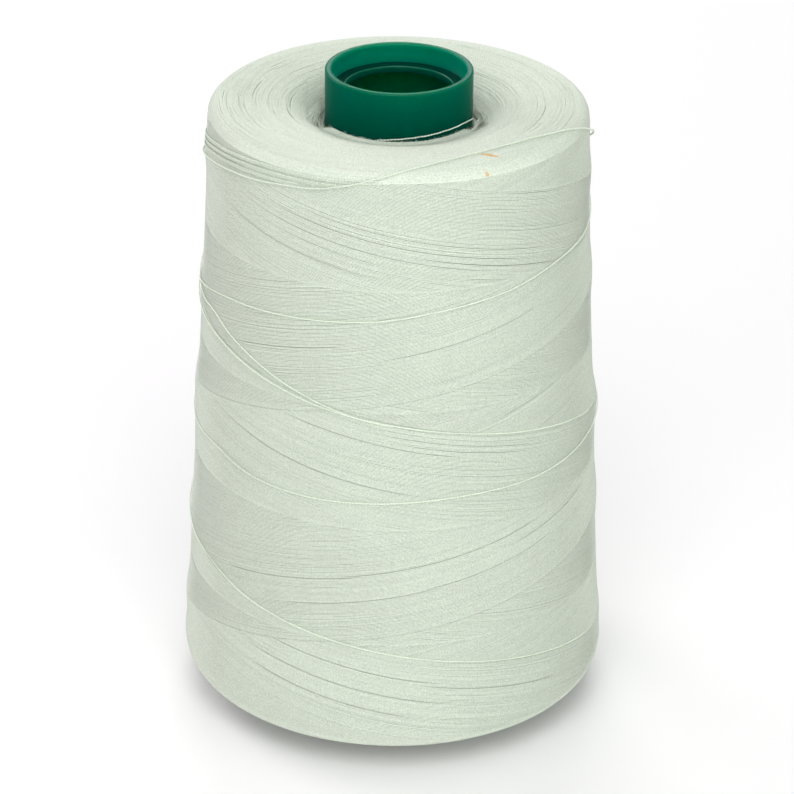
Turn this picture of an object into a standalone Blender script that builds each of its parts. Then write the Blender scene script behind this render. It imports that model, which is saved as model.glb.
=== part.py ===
"""Cone of sewing thread: a cross-wound body of mint thread on a moulded green plastic tube.

Metres, +Z up. The origin is the middle of the circle that the tube's foot stands on, Z is the
cone's own axis, and -Y is the side with the slipped turn. Turns are degrees round Z from +X.
"""

import bisect
import math

import bpy
from mathutils import Vector

MM = 0.001
CLEARANCE = 0.3 * MM  # gap between pieces that touch

# Tube
TUBE_HEIGHT = 170.0 * MM
TUBE_STEPS = 56
COLLAR_RADIUS = 18.2 * MM  # outside of the straight nose
COLLAR_LENGTH = 18.0 * MM  # straight length, from the rim down
COLLAR_WALL = 1.75 * MM
TUBE_HALF_ANGLE = math.radians(3.5)
TUBE_WALL = 1.7 * MM
RIM_ROUND = 0.6 * MM
FOOT_ROUND = 0.5 * MM
SEAT_DEPTH = 4.7 * MM  # rim to the top of the ring inside the nose
SEAT_THICKNESS = 1.9 * MM
SEAT_RADIUS = 13.2 * MM
SEAT_CHAMFER = 0.3 * MM

# Winding
WINDING_STEPS = 76
WINDING_FOOT = 6.7 * MM  # underside of the thread above the floor
CROWN_HEIGHT = 161.5 * MM
SHOULDER_ROUND = 3.5 * MM
BASE_ROUND = 6.6 * MM
SIDE_ROW_SPACING = 5.0 * MM
UNDERSIDE_DISH = 2.1 * MM
# Top face from the tube out to the shoulder: radius, drop below the crown
FACE = (
    (20.0 * MM, 6.1 * MM),
    (21.6 * MM, 5.2 * MM),
    (23.6 * MM, 3.3 * MM),
    (26.2 * MM, 1.6 * MM),
    (30.0 * MM, 0.6 * MM),
    (36.0 * MM, 0.1 * MM),
)
FACE_DROP_AT_TUBE = 6.2 * MM
# Side of the winding from the shoulder to the base bulge: height, radius
SIDE = (
    (158.0 * MM, 46.80 * MM),
    (138.0 * MM, 47.45 * MM),
    (120.0 * MM, 48.30 * MM),
    (104.0 * MM, 49.10 * MM),
    (90.0 * MM, 49.90 * MM),
    (84.0 * MM, 50.70 * MM),
    (68.0 * MM, 51.15 * MM),
    (50.0 * MM, 52.00 * MM),
    (33.0 * MM, 52.95 * MM),
    (22.0 * MM, 53.75 * MM),
    (13.3 * MM, 54.30 * MM),
)
# Main crossing bands: one falls and one rises round the cone, and they meet at one place
BAND_LEAD = 61.7 * MM  # climb in one turn
BAND_CROSSING_TURN = 254.0
BAND_CROSSING_HEIGHT = 100.4 * MM
BAND_WIDTH = 16.0 * MM
BAND_PROUD = 0.45 * MM
BAND_FADE = 12.0 * MM  # the bands die out over this height at each end of the side
FRONT_TURN = 270.0
# Slipped turns heaped against the tube at the front
HEAP_RAISE = 2.6 * MM
HEAP_FULL_TURN = 55.0  # full height this far either side of the front
HEAP_END_TURN = 82.0
HEAP_REACH = 27.0 * MM  # radius at which the heap has died out

# Loose turn of thread: turn, distance down the outline from the tube, lift off the surface
LOOSE_RADIUS = 0.25 * MM
LOOSE_POINTS = 80
LOOSE_ROUTE = (
    (170.0, 43.6 * MM, 0.0),
    (181.0, 41.6 * MM, 0.0),
    (192.0, 39.5 * MM, 0.0),
    (201.0, 38.1 * MM, 0.1 * MM),
    (213.0, 36.7 * MM, 0.1 * MM),
    (224.0, 35.8 * MM, 0.1 * MM),
    (236.0, 34.6 * MM, 0.1 * MM),
    (247.0, 33.6 * MM, 0.1 * MM),
    (256.0, 31.8 * MM, 0.1 * MM),
    (264.0, 30.0 * MM, 0.0),
    (273.0, 27.9 * MM, 0.0),
    (287.0, 24.3 * MM, 0.0),
    (300.0, 22.5 * MM, 0.0),
    (311.0, 22.5 * MM, 0.0),
    (322.0, 23.9 * MM, 0.0),
    (331.0, 26.4 * MM, 0.0),
    (338.0, 28.5 * MM, 0.0),
    (344.0, 30.3 * MM, 0.2 * MM),
    (351.0, 32.8 * MM, 0.5 * MM),
    (359.0, 36.2 * MM, 0.3 * MM),
    (369.0, 40.0 * MM, 0.1 * MM),
    (384.0, 44.0 * MM, 0.0),
    (404.0, 48.6 * MM, 0.0),
    (428.0, 53.6 * MM, 0.0),
    (454.0, 58.2 * MM, 0.0),
    (480.0, 62.0 * MM, 0.0),
    (502.0, 64.6 * MM, 0.0),
)

# Colours, linear RGB
GREEN_PLASTIC = (0.002, 0.075, 0.045, 1.0)
MINT_THREAD = (0.60, 0.73, 0.58, 1.0)


def clear_scene():
    for thing in list(bpy.data.objects):
        bpy.data.objects.remove(thing, do_unlink=True)


def material(name, colour, roughness):
    made = bpy.data.materials.new(name)
    made.use_nodes = True
    shader = made.node_tree.nodes["Principled BSDF"]
    shader.inputs["Base Color"].default_value = colour
    shader.inputs["Roughness"].default_value = roughness
    shader.inputs["Metallic"].default_value = 0.0
    return made


def arc(centre_radius, centre_height, size, start, end, steps):
    """Points of a round edge in the half section, from one angle to another in degrees."""
    points = []
    for step in range(steps + 1):
        angle = math.radians(start + (end - start) * step / steps)
        points.append((centre_radius + size * math.cos(angle), centre_height + size * math.sin(angle)))
    return points


def table_value(rows, key):
    """Value at key in a table of (key, value) rows, with straight runs between the rows."""
    ordered = sorted(rows)
    keys = [row[0] for row in ordered]
    place = min(max(bisect.bisect(keys, key), 1), len(keys) - 1)
    (key_a, value_a), (key_b, value_b) = ordered[place - 1], ordered[place]
    share = min(max((key - key_a) / (key_b - key_a), 0.0), 1.0)
    return value_a + (value_b - value_a) * share


def ease(share):
    """0 to 1 with soft ends."""
    share = min(max(share, 0.0), 1.0)
    return share * share * (3.0 - 2.0 * share)


def tube_radius(height):
    """Outside radius of the tube: a straight nose, then a plain taper down to the foot."""
    below = max(TUBE_HEIGHT - COLLAR_LENGTH - height, 0.0)
    return COLLAR_RADIUS + below * math.tan(TUBE_HALF_ANGLE)


def tube_section():
    """Half section of the tube, down its outside, across the foot and back up the bore."""
    bore_radius = COLLAR_RADIUS - COLLAR_WALL
    collar_foot = TUBE_HEIGHT - COLLAR_LENGTH
    seat_top = TUBE_HEIGHT - SEAT_DEPTH
    seat_foot = seat_top - SEAT_THICKNESS
    foot_radius = tube_radius(0.0)
    points = arc(COLLAR_RADIUS - RIM_ROUND, TUBE_HEIGHT - RIM_ROUND, RIM_ROUND, 90, 0, 3)
    points += [(COLLAR_RADIUS, collar_foot), (tube_radius(collar_foot / 2), collar_foot / 2)]
    points += arc(foot_radius - FOOT_ROUND, FOOT_ROUND, FOOT_ROUND, 0, -90, 2)
    points += [
        (foot_radius - TUBE_WALL, 0.0),
        (COLLAR_RADIUS - TUBE_WALL, collar_foot),
        (COLLAR_RADIUS - TUBE_WALL, seat_foot),
        (SEAT_RADIUS + SEAT_CHAMFER, seat_foot),
        (SEAT_RADIUS, seat_foot + SEAT_CHAMFER),
        (SEAT_RADIUS, seat_top - SEAT_CHAMFER),
        (SEAT_RADIUS + SEAT_CHAMFER, seat_top),
        (bore_radius, seat_top),
    ]
    points += arc(bore_radius + RIM_ROUND, TUBE_HEIGHT - RIM_ROUND, RIM_ROUND, 180, 90, 3)[:-1]
    return points


def winding_outline():
    """Outline of the thread that shows: from the tube over the crown and shoulder to the base."""
    points = [(COLLAR_RADIUS + CLEARANCE, CROWN_HEIGHT - FACE_DROP_AT_TUBE)]
    points += [(radius, CROWN_HEIGHT - drop) for radius, drop in FACE]
    shoulder_height, shoulder_radius = SIDE[0]
    points += arc(shoulder_radius - SHOULDER_ROUND, shoulder_height, SHOULDER_ROUND, 90, 0, 4)
    base_height, base_radius = SIDE[-1]
    rows = round((shoulder_height - base_height) / SIDE_ROW_SPACING)
    for row in range(1, rows):
        height = shoulder_height + (base_height - shoulder_height) * row / rows
        points.append((table_value(SIDE, height), height))
    points += arc(base_radius - BASE_ROUND, base_height, BASE_ROUND, 0, -90, 4)
    return points


def winding_section():
    """Half section of the winding: its outline, then the underside and up along the tube."""
    underside = WINDING_FOOT + UNDERSIDE_DISH
    collar_foot = TUBE_HEIGHT - COLLAR_LENGTH
    bore_foot = tube_radius(underside) + CLEARANCE
    points = winding_outline()
    points += [
        (bore_foot + 9.0 * MM, WINDING_FOOT + UNDERSIDE_DISH * 0.4),
        (bore_foot, underside),
        (tube_radius(collar_foot / 2) + CLEARANCE, collar_foot / 2),
        (COLLAR_RADIUS + CLEARANCE, collar_foot),
    ]
    return points


def band_raise(turn, height):
    """How far the crossing bands stand out at a place on the winding's side."""
    top, base = SIDE[0][0], SIDE[-1][0]
    fade = ease((top - height) / BAND_FADE) * ease((height - base) / BAND_FADE)
    nearest = BAND_LEAD
    for lead in (-BAND_LEAD, BAND_LEAD):
        middle = BAND_CROSSING_HEIGHT + lead * (turn - BAND_CROSSING_TURN) / 360.0
        off = (height - middle + BAND_LEAD / 2) % BAND_LEAD - BAND_LEAD / 2
        nearest = min(nearest, abs(off))
    return BAND_PROUD * ease(1.0 - nearest / (BAND_WIDTH / 2)) * fade


def heap_raise(turn, radius):
    """How far the slipped turns heap up on the top face beside the tube."""
    away = abs((turn - FRONT_TURN + 180.0) % 360.0 - 180.0)
    round_it = ease((HEAP_END_TURN - away) / (HEAP_END_TURN - HEAP_FULL_TURN))
    outwards = ease((HEAP_REACH - radius) / (HEAP_REACH - COLLAR_RADIUS))
    return HEAP_RAISE * round_it * outwards


def relief(turn, radius, height):
    """Shift of a point of the plain turned form: outwards on the side, upwards on the face."""
    on_side = radius > SIDE[0][1] - 0.1 * MM and height > SIDE[-1][0]
    on_face = radius < HEAP_REACH and height > CROWN_HEIGHT - FACE_DROP_AT_TUBE - 0.1 * MM
    if on_side:
        return band_raise(turn, height), 0.0
    if on_face:
        return 0.0, heap_raise(turn, radius)
    return 0.0, 0.0


def turned_object(name, section, steps, finish):
    """A half section, listed down its outer side first, turned once round Z."""
    mesh = bpy.data.meshes.new(name)
    count = len(section)
    edges = [(place, (place + 1) % count) for place in range(count)]
    mesh.from_pydata([(radius, 0.0, height) for radius, height in section], edges, [])
    made = bpy.data.objects.new(name, mesh)
    mesh.materials.append(finish)
    screw = made.modifiers.new("turned", "SCREW")
    screw.axis = "Z"
    screw.angle = math.radians(360.0)
    screw.steps = steps
    screw.render_steps = steps
    screw.use_smooth_shade = True
    screw.use_merge_vertices = True
    screw.merge_threshold = 0.00001
    return made


def evaluated_mesh(thing, name):
    """The object's mesh with its modifiers applied, as a mesh of its own."""
    depsgraph = bpy.context.evaluated_depsgraph_get()
    depsgraph.update()
    mesh = bpy.data.meshes.new_from_object(thing.evaluated_get(depsgraph))
    mesh.name = name
    return mesh


def build_tube(parts):
    finish = material("green_plastic", GREEN_PLASTIC, 0.28)
    tube = turned_object("tube", tube_section(), TUBE_STEPS, finish)
    parts.objects.link(tube)


def build_winding(parts):
    """Turned form of the thread, with its crossing bands and heap raised in the points."""
    finish = material("mint_thread", MINT_THREAD, 0.75)
    plain = turned_object("winding_plain", winding_section(), WINDING_STEPS, finish)
    parts.objects.link(plain)
    mesh = evaluated_mesh(plain, "winding")
    bpy.data.objects.remove(plain, do_unlink=True)
    for vertex in mesh.vertices:
        x, y, height = vertex.co
        radius = math.hypot(x, y)
        turn = math.degrees(math.atan2(y, x)) % 360.0
        outwards, upwards = relief(turn, radius, height)
        grown = (radius + outwards) / radius
        vertex.co = Vector((x * grown, y * grown, height + upwards))
    mesh.shade_smooth()
    mesh.set_sharp_from_angle(angle=math.radians(50.0))
    winding = bpy.data.objects.new("winding", mesh)
    parts.objects.link(winding)


def outline_place(run):
    """Point and outward direction of the winding's outline, at a distance from the tube."""
    points = winding_outline()
    for (radius_a, height_a), (radius_b, height_b) in zip(points, points[1:]):
        step = math.hypot(radius_b - radius_a, height_b - height_a)
        if run <= step:
            share = run / step
            radius = radius_a + (radius_b - radius_a) * share
            height = height_a + (height_b - height_a) * share
            return radius, height, (height_a - height_b) / step, (radius_b - radius_a) / step
        run -= step
    raise ValueError("the loose turn runs off the winding")


def loose_point(turn, run, lift):
    """Centre of the loose thread where it lies on the winding."""
    radius, height, out, up = outline_place(run)
    outwards, upwards = relief(turn % 360.0, radius, height)
    off = CLEARANCE + LOOSE_RADIUS + lift
    radius += outwards + out * off
    height += upwards + up * off
    angle = math.radians(turn)
    return Vector((radius * math.cos(angle), radius * math.sin(angle), height))


def smooth_row(rows, place):
    """A row read from the smooth curve through the table's rows, at a place counted in rows."""
    first = min(int(place), len(rows) - 2)
    share = place - first
    around = [rows[min(max(first + step, 0), len(rows) - 1)] for step in (-1, 0, 1, 2)]
    values = []
    for before, start, end, after in zip(*around):
        slope_in, slope_out = (end - before) / 2.0, (after - start) / 2.0
        rise = end - start
        curve = 3.0 * rise - 2.0 * slope_in - slope_out
        twist = slope_in + slope_out - 2.0 * rise
        values.append(start + share * (slope_in + share * (curve + share * twist)))
    return values


def build_loose_turn(parts):
    """The turn that has slipped over the shoulder and lies loose, round in section."""
    finish = material("mint_loose_thread", MINT_THREAD, 0.75)
    curve = bpy.data.curves.new("loose_turn", "CURVE")
    curve.dimensions = "3D"
    curve.bevel_depth = LOOSE_RADIUS
    curve.bevel_resolution = 2
    curve.use_fill_caps = True
    spline = curve.splines.new("POLY")
    spline.points.add(LOOSE_POINTS - 1)
    for number, point in enumerate(spline.points):
        place = number * (len(LOOSE_ROUTE) - 1) / (LOOSE_POINTS - 1)
        point.co = (*loose_point(*smooth_row(LOOSE_ROUTE, place)), 1.0)
    curve.materials.append(finish)
    parts.objects.link(bpy.data.objects.new("loose_turn", curve))


def main():
    clear_scene()
    parts = bpy.data.collections.new("cone_of_thread")
    bpy.context.scene.collection.children.link(parts)
    build_tube(parts)
    build_winding(parts)
    build_loose_turn(parts)


main()
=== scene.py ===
"""Looks of a cone of sewing thread: the cross-wound turns, the slipped and loose turns on top,
the loose fibres and the moulded tube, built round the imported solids.

Metres, +Z up. Z is the cone's own axis and -Y is the side with the slipped turn. A turn is an
angle round Z in degrees, counted from +X. A run is a distance along the winding's outline, which
starts at the tube, crosses the top face and the shoulder, and goes down the side.
"""

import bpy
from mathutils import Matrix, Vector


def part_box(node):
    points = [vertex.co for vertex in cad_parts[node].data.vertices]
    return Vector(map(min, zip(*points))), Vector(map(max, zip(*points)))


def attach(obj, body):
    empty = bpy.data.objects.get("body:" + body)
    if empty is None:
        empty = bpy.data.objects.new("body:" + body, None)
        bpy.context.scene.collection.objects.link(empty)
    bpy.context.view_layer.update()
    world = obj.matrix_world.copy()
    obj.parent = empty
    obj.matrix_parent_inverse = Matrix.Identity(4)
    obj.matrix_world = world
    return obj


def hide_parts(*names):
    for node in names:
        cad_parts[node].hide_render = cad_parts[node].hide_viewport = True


bl_info = {
    "name": "Cone of Thread",
    "version": (1, 0, 0),
    "blender": (4, 5, 0),
    "location": "View3D > Sidebar > Thread",
    "description": "Builds a cross-wound cone of sewing thread, its tube and a plain studio",
    "category": "Add Mesh",
}

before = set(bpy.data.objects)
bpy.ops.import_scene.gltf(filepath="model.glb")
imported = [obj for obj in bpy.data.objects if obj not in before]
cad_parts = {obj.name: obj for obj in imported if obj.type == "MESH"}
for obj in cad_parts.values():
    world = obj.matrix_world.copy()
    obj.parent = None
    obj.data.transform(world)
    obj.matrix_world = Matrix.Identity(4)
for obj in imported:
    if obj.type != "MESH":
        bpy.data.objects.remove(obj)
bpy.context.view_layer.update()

import math

import bpy
import numpy as np
from bpy.props import FloatProperty, FloatVectorProperty, IntProperty, PointerProperty
from mathutils import Matrix, Vector

MM = 0.001
TUBE_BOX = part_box("tube")
WINDING_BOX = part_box("winding")

# Tube
TUBE_HEIGHT = TUBE_BOX[1].z
TUBE_STEPS = 160
COLLAR_RADIUS = 18.2 * MM
COLLAR_LENGTH = 18.0 * MM
COLLAR_WALL = 1.75 * MM
TUBE_HALF_ANGLE = math.radians(3.5)
TUBE_WALL = 1.7 * MM
RIM_ROUND = 0.6 * MM
FOOT_ROUND = 0.5 * MM
SEAT_DEPTH = 4.7 * MM
SEAT_THICKNESS = 1.9 * MM
SEAT_RADIUS = 13.2 * MM
SEAT_ROUND = 0.35 * MM
CLEARANCE = 0.3 * MM

# Winding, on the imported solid's own outline
WINDING_FOOT = WINDING_BOX[0].z
CROWN_HEIGHT = WINDING_BOX[1].z
BASE_RADIUS = WINDING_BOX[1].x
SHOULDER_ROUND = 3.5 * MM
BASE_ROUND = 6.6 * MM
SIDE_ROW_SPACING = 5.0 * MM
UNDERSIDE_DISH = 2.1 * MM
# Top face from the tube out to the shoulder: radius, drop below the crown
FACE = (
    (20.0 * MM, 6.1 * MM),
    (21.6 * MM, 5.2 * MM),
    (23.6 * MM, 3.3 * MM),
    (26.2 * MM, 1.6 * MM),
    (30.0 * MM, 0.6 * MM),
    (36.0 * MM, 0.1 * MM),
)
FACE_DROP_AT_TUBE = 6.2 * MM
MIDDLE_RADIUS = 51.15 * MM
# Side from the shoulder to the base bulge: height, radius
SIDE = (
    (158.0 * MM, 46.80 * MM),
    (138.0 * MM, 47.45 * MM),
    (120.0 * MM, 48.30 * MM),
    (104.0 * MM, 49.10 * MM),
    (90.0 * MM, 49.90 * MM),
    (84.0 * MM, 50.70 * MM),
    (68.0 * MM, MIDDLE_RADIUS),
    (50.0 * MM, 52.00 * MM),
    (33.0 * MM, 52.95 * MM),
    (22.0 * MM, 53.75 * MM),
    (13.3 * MM, BASE_RADIUS),
)
BAND_WIDTH = 16.0 * MM
BAND_PROUD = 0.45 * MM
BAND_FADE = 12.0 * MM
FRONT_TURN = 270.0
HEAP_RAISE = 2.6 * MM
HEAP_FULL_TURN = 55.0
HEAP_END_TURN = 82.0
HEAP_REACH = 27.0 * MM

# How the thread is laid. Each pass climbs from the base to the shoulder and falls back, and lies a
# little further round than the pass before, so that the passes cover the cone once. A climb is
# counted in turns from the height where the last rising and falling turns cross.
CROSSING_TURN = 254.0
LOWEST_CLIMB = -1.5
HIGHEST_CLIMB = 1.0
LEAD = (CROWN_HEIGHT + 1.1 * MM - WINDING_FOOT) / (HIGHEST_CLIMB - LOWEST_CLIMB)
CROSSING_HEIGHT = WINDING_FOOT - LOWEST_CLIMB * LEAD
RETURN_BEND = 12.0 / 360.0  # part of a turn that the thread takes to turn back at each end
RISING, FALLING = 1, -1
COME_OUT = 1.2 * MM  # length over which a turn comes out from under the edge
DIP = 5.0 * MM  # length over which it dips under the turns that cross it
END_DIP = 14.0 / 360.0  # part of a turn over which it dips after the bend at either end
SINK = 0.36 * MM  # how far it goes under
FINE_GAPS = 130
GAP_REACH = 2.2 * MM  # how far from a gap its neighbours are pushed aside
FACE_SPACING = 0.15 * MM
UNDERSIDE_SPACING = 0.33 * MM
ARC_SPANS = (35.0, 130.0)  # shortest and longest arc of the face, in degrees
ARC_OVERLAPS = (4.0, 8.0)  # how far one arc goes on past the start of the next, in degrees
ARC_ENDS = 2.0  # angle over which an arc comes up at each end
ARC_SINK = 0.24 * MM  # how far the ends of an arc go under
PASS_STRAY = 0.014 * MM  # how far a whole pass lies from its even place
LIFT_STRAY = 0.008 * MM

# Gaps that opened between turns: direction, turn and height of the middle, length round the cone
# in degrees, width. Heights and widths in millimetres.
GAPS = (
    (FALLING, 258.0, 142.0, 88.0, 0.12),
    (FALLING, 269.0, 143.2, 86.0, 0.14),
    (FALLING, 280.0, 143.6, 84.0, 0.11),
    (FALLING, 236.0, 139.5, 52.0, 0.14),
    (FALLING, 300.0, 136.0, 50.0, 0.13),
    (FALLING, 262.0, 92.5, 56.0, 0.20),
    (FALLING, 246.0, 83.6, 66.0, 0.18),
    (FALLING, 290.0, 88.8, 44.0, 0.14),
    (FALLING, 258.0, 30.8, 54.0, 0.26),
    (FALLING, 256.0, 25.6, 60.0, 0.24),
    (FALLING, 252.0, 21.6, 50.0, 0.20),
    (FALLING, 300.0, 22.4, 46.0, 0.20),
    (RISING, 238.5, 52.2, 50.0, 0.20),
    (RISING, 286.0, 60.6, 66.0, 0.20),
    (RISING, 300.0, 56.5, 50.0, 0.16),
    (RISING, 262.0, 49.5, 50.0, 0.14),
    (RISING, 236.0, 113.4, 40.0, 0.18),
    (RISING, 290.0, 118.0, 56.0, 0.14),
    (RISING, 318.0, 99.0, 40.0, 0.16),
    (RISING, 322.0, 64.0, 36.0, 0.16),
)
# Turns that lie slack over the others: turn, height in millimetres
SLACK_TURNS = {
    "rising_over_the_top_band": (
        (150.0, 108.6), (172.0, 112.6), (196.0, 116.9), (211.0, 119.6),
        (226.0, 121.0), (247.0, 122.6), (265.0, 124.1), (283.0, 126.5),
        (304.0, 128.9), (323.0, 131.6), (343.0, 133.1), (370.0, 136.6),
        (396.0, 141.0),
    ),
    "falling_to_the_crossing": (
        (152.0, 120.4), (172.0, 117.4), (194.0, 113.8), (206.0, 113.2),
        (214.0, 111.0), (223.0, 108.6), (240.0, 103.7), (256.0, 99.6),
        (277.0, 96.2), (297.0, 92.9), (318.0, 89.4), (345.0, 84.9),
    ),
    "falling_beside_it": (
        (160.0, 116.0), (178.0, 112.6), (195.0, 109.6), (207.0, 108.3),
        (225.0, 105.0), (245.0, 101.2), (258.0, 99.0), (272.0, 96.6),
    ),
    "level_round_the_middle": (
        (140.0, 83.0), (166.0, 80.2), (192.0, 78.5), (210.0, 78.9),
        (223.0, 77.0), (246.0, 76.0), (262.0, 76.4), (288.0, 77.5),
        (315.0, 77.6), (335.0, 78.5), (360.0, 80.6), (392.0, 84.4),
    ),
    "falling_near_the_base": (
        (160.0, 54.8), (178.0, 51.4), (195.0, 48.6), (208.0, 47.0),
        (227.0, 43.0), (245.0, 39.7), (266.0, 36.1), (289.0, 32.2),
        (312.0, 28.4), (338.0, 24.2),
    ),
    "rising_at_the_back": (
        (2.0, 58.0), (30.0, 63.4), (62.0, 68.2), (96.0, 74.6), (138.0, 82.4),
    ),
    "falling_at_the_back": (
        (16.0, 141.0), (46.0, 136.8), (78.0, 130.6), (112.0, 125.6),
        (140.0, 121.4),
    ),
    "low_at_the_back": (
        (6.0, 30.6), (40.0, 33.4), (76.0, 37.8), (110.0, 45.2),
        (134.0, 48.8),
    ),
}
# Edge of the layers that slipped on the shoulder: turn, run in millimetres
SLIPPED_EDGE = (
    (164.0, 39.6), (176.0, 37.6), (188.5, 35.3), (199.0, 33.5),
    (211.0, 32.3), (221.0, 31.6), (233.5, 31.1), (244.0, 31.0),
    (258.0, 30.8), (272.0, 30.2),
)
SLIPPED_LAYERS = 3
SLIPPED_SPACING = 1.4 * MM
SLIPPED_TURNS = 3  # in each layer
SLIPPED_TURN_SPACING = 0.31 * MM
SLIPPED_LIFT = 0.30 * MM  # of the first turn in a layer, and each next one lies lower
SLIPPED_LIFT_STEP = 0.07 * MM
SLACK_LIFT = 0.38 * MM
TUCK = 0.4 * MM  # how far the ends of a slack or slipped turn go under
# Thread held off the heap by the tube at the front: turn, height from the crown in millimetres
HELD_TURN = (
    (252.0, -3.45), (263.0, -3.10), (275.0, -2.75), (288.0, -2.45),
    (301.0, -2.15), (314.0, -2.00), (328.0, -2.10), (340.0, -2.60),
    (352.0, -3.60),
)

# Loose turn: turn, run, lift off the surface
LOOSE_RADIUS = 0.25 * MM
LOOSE_ROUTE = (
    (170.0, 43.6 * MM, 0.0),
    (181.0, 41.6 * MM, 0.0),
    (192.0, 39.5 * MM, 0.0),
    (201.0, 38.1 * MM, 0.1 * MM),
    (213.0, 36.7 * MM, 0.1 * MM),
    (224.0, 35.8 * MM, 0.1 * MM),
    (236.0, 34.6 * MM, 0.1 * MM),
    (247.0, 33.6 * MM, 0.1 * MM),
    (256.0, 31.8 * MM, 0.1 * MM),
    (264.0, 30.0 * MM, 0.0),
    (273.0, 27.9 * MM, 0.0),
    (287.0, 24.3 * MM, 0.0),
    (300.0, 22.5 * MM, 0.0),
    (311.0, 22.5 * MM, 0.0),
    (322.0, 23.9 * MM, 0.0),
    (331.0, 26.4 * MM, 0.0),
    (338.0, 28.5 * MM, 0.0),
    (344.0, 30.3 * MM, 0.2 * MM),
    (351.0, 32.8 * MM, 0.5 * MM),
    (359.0, 36.2 * MM, 0.3 * MM),
    (369.0, 40.0 * MM, 0.1 * MM),
    (384.0, 44.0 * MM, 0.0),
    (404.0, 48.6 * MM, 0.0),
    (428.0, 53.6 * MM, 0.0),
    (454.0, 58.2 * MM, 0.0),
    (480.0, 62.0 * MM, 0.0),
    (502.0, 64.6 * MM, 0.0),
)

# Turns that span the hollow beside the tube: middle turn, how many
HOLLOW_SPANS = ((4.0, 16), (172.0, 12), (90.0, 9))
FIBRE_RADIUS = 0.024 * MM
FIBRE_POINTS = 5
FIBRES_FOR_ONE_BY_TUBE = 3

# Stained fibres on the top face at the front: turn, radius, half length and half width
STAINS = (
    (301.5, 41.2 * MM, 2.8 * MM, 0.70 * MM),
    (296.8, 46.5 * MM, 0.7 * MM, 0.6 * MM),
)
STAIN_LEAN = 42.0  # angle from the way out of the tube to a stain's length
STAIN_DEPTH = 1.2 * MM

# Soft lights: name, place, width, power in watts, colour
LIGHTS = (
    ("overhead", (0.0, -0.05, 1.4), 1.0, 1.8, (1.0, 1.0, 1.0)),
    ("over_the_front", (0.0, -0.9, 1.25), 0.8, 7.8, (1.0, 1.0, 1.0)),
    ("low_front", (0.0, -1.5, 0.25), 0.6, 5.4, (1.0, 1.0, 1.0)),
    ("front_left", (-0.8, -1.2, 0.7), 0.7, 3.9, (1.0, 0.92, 1.0)),
    ("front_right", (0.8, -1.2, 0.7), 0.7, 2.9, (1.0, 1.0, 1.0)),
    ("back_left", (-1.0, 0.7, 0.8), 0.7, 4.5, (1.0, 0.91, 1.0)),
    ("low_right", (1.25, -0.5, 0.4), 0.6, 1.8, (1.0, 1.0, 1.0)),
    ("back", (0.0, 1.25, 1.0), 0.8, 7.0, (1.0, 1.0, 1.0)),
)

# Camera, from the photograph: place, the point it looks at, lens, shift and roll
CAMERA_PLACE = Vector((0.0, -803.6 * MM, 480.0 * MM))
CAMERA_TARGET = Vector((0.0, 0.0, 76.1 * MM))
CAMERA_LENS_MM = 159.3
CAMERA_SHIFT = (0.0025, 0.018)
CAMERA_ROLL = math.radians(0.71)


# The settings that a user would change


class WindingSettings(bpy.types.PropertyGroup):
    """Sizes of the wound thread."""

    passes: IntProperty(
        name="Passes", description="Turns of thread in one lead, for each direction",
        default=184, min=40, max=240)
    thread_width: FloatProperty(
        name="Thread Width", description="Width of one turn where it lies in the winding",
        default=0.38 * MM, unit="LENGTH", precision=5)
    thread_proud: FloatProperty(
        name="Thread Height", description="How far a turn stands up from its own edges",
        default=0.15 * MM, unit="LENGTH", precision=5)
    turn_step: FloatProperty(
        name="Turn Step", description="Angle between the points of a turn",
        default=math.radians(3.75), subtype="ANGLE")
    unevenness: FloatProperty(
        name="Unevenness", description="How far a turn strays from its even place",
        default=0.018 * MM, unit="LENGTH", precision=5)
    fibres: IntProperty(
        name="Loose Fibres", description="Fine fibres that stand off the thread",
        default=3600, min=0, max=8000)
    seed: IntProperty(name="Seed", description="Seed of every uneven value", default=11)


class FinishSettings(bpy.types.PropertyGroup):
    """Colours and fine surface of the thread and the plastic."""

    thread_colour: FloatVectorProperty(
        name="Thread", description="Colour of the thread", subtype="COLOR", size=3,
        min=0.0, max=1.0, default=(0.714, 0.787, 0.669))
    # Painted shade: the thread deep between the turns gets a darker colour for the shade there
    painted_shade_colour: FloatVectorProperty(
        name="Depth", description="Colour of the thread deep between the turns", subtype="COLOR",
        size=3, min=0.0, max=1.0, default=(0.57, 0.65, 0.52))
    stain_colour: FloatVectorProperty(
        name="Stain", description="Colour of the stained fibres", subtype="COLOR", size=3,
        min=0.0, max=1.0, default=(0.72, 0.46, 0.17))
    plastic_colour: FloatVectorProperty(
        name="Plastic", description="Colour of the tube", subtype="COLOR", size=3,
        min=0.0, max=1.0, default=(0.0, 0.092, 0.056))
    twists: FloatProperty(
        name="Twists", description="Turns of the plies in one metre of thread", default=800.0)


class StudioSettings(bpy.types.PropertyGroup):
    """Floor and light."""

    floor_colour: FloatVectorProperty(
        name="Floor", description="Colour of the floor", subtype="COLOR", size=3,
        min=0.0, max=1.0, default=(0.93, 0.93, 0.93))
    light: FloatProperty(
        name="Lights", description="Strength of all the soft lights together", default=1.0)
    room: FloatProperty(
        name="Room", description="Strength of the even light of the room", default=0.38)


# The winding's surface


def ease(share):
    """0 to 1 with soft ends."""
    share = np.clip(share, 0.0, 1.0)
    return share * share * (3.0 - 2.0 * share)


def wrapped(value, period):
    """Value brought to within half a period either side of zero."""
    return (value + period / 2) % period - period / 2


def table_value(rows, key):
    """Value at key in a table of (key, value) rows, with straight runs between the rows."""
    ordered = sorted(rows)
    return float(np.interp(key, [row[0] for row in ordered], [row[1] for row in ordered]))


def arc(centre_radius, centre_height, size, start, end, steps):
    """Points of a round edge in the half section, from one angle to another in degrees."""
    angles = np.radians(np.linspace(start, end, steps + 1))
    return [
        (centre_radius + size * math.cos(angle), centre_height + size * math.sin(angle))
        for angle in angles
    ]


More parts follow.
